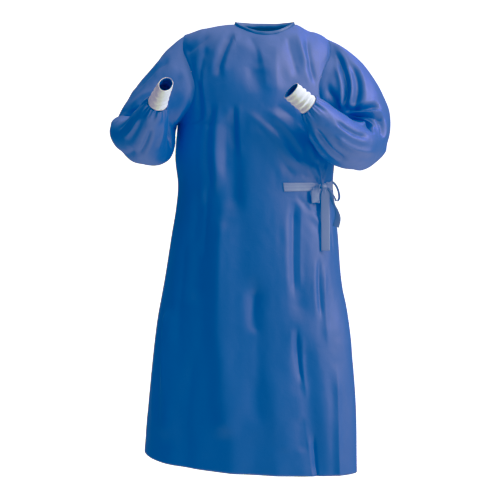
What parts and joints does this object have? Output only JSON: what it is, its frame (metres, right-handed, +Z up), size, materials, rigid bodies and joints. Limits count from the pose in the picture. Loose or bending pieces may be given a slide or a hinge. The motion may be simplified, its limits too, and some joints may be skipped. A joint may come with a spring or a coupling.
{
  "type": "surgical gown",
  "caption": "Long-sleeved surgical gown filled out as worn, forearms raised, with a bound round neck, white knit cuffs, an overlapping back and a belt tied in a bow at the side",
  "frame": {"origin": "The middle of the neck at the height of the shoulder seams, where the wearer's neck holds the gown", "axes": "+Z up towards the neck. The front faces -Y. The wearer's right arm is at -X and the left arm, with the bow below it, at +X"},
  "size_m": [0.7582, 0.5463, 1.2115],
  "materials": {
    "cloth": "matt blue nonwoven with a slight sheen at grazing angles",
    "binding": "matt dark blue folded binding",
    "belt": "matt lighter blue nonwoven strap",
    "knit": "matt white rib knit"
  },
  "bodies": {
    "root": {"body_front": "cloth", "back_outer": "cloth", "back_inner": "cloth", "sleeve_right": "cloth", "sleeve_left": "cloth", "neck_binding": "binding", "cuff_right": "knit", "cuff_left": "knit", "belt_front": "belt", "belt_side": "belt", "bow_knot": "belt", "bow_loop_front": "belt", "bow_loop_side": "belt", "tail_straight": "belt", "tail_twisted": "belt"}
  },
  "joints": []
}
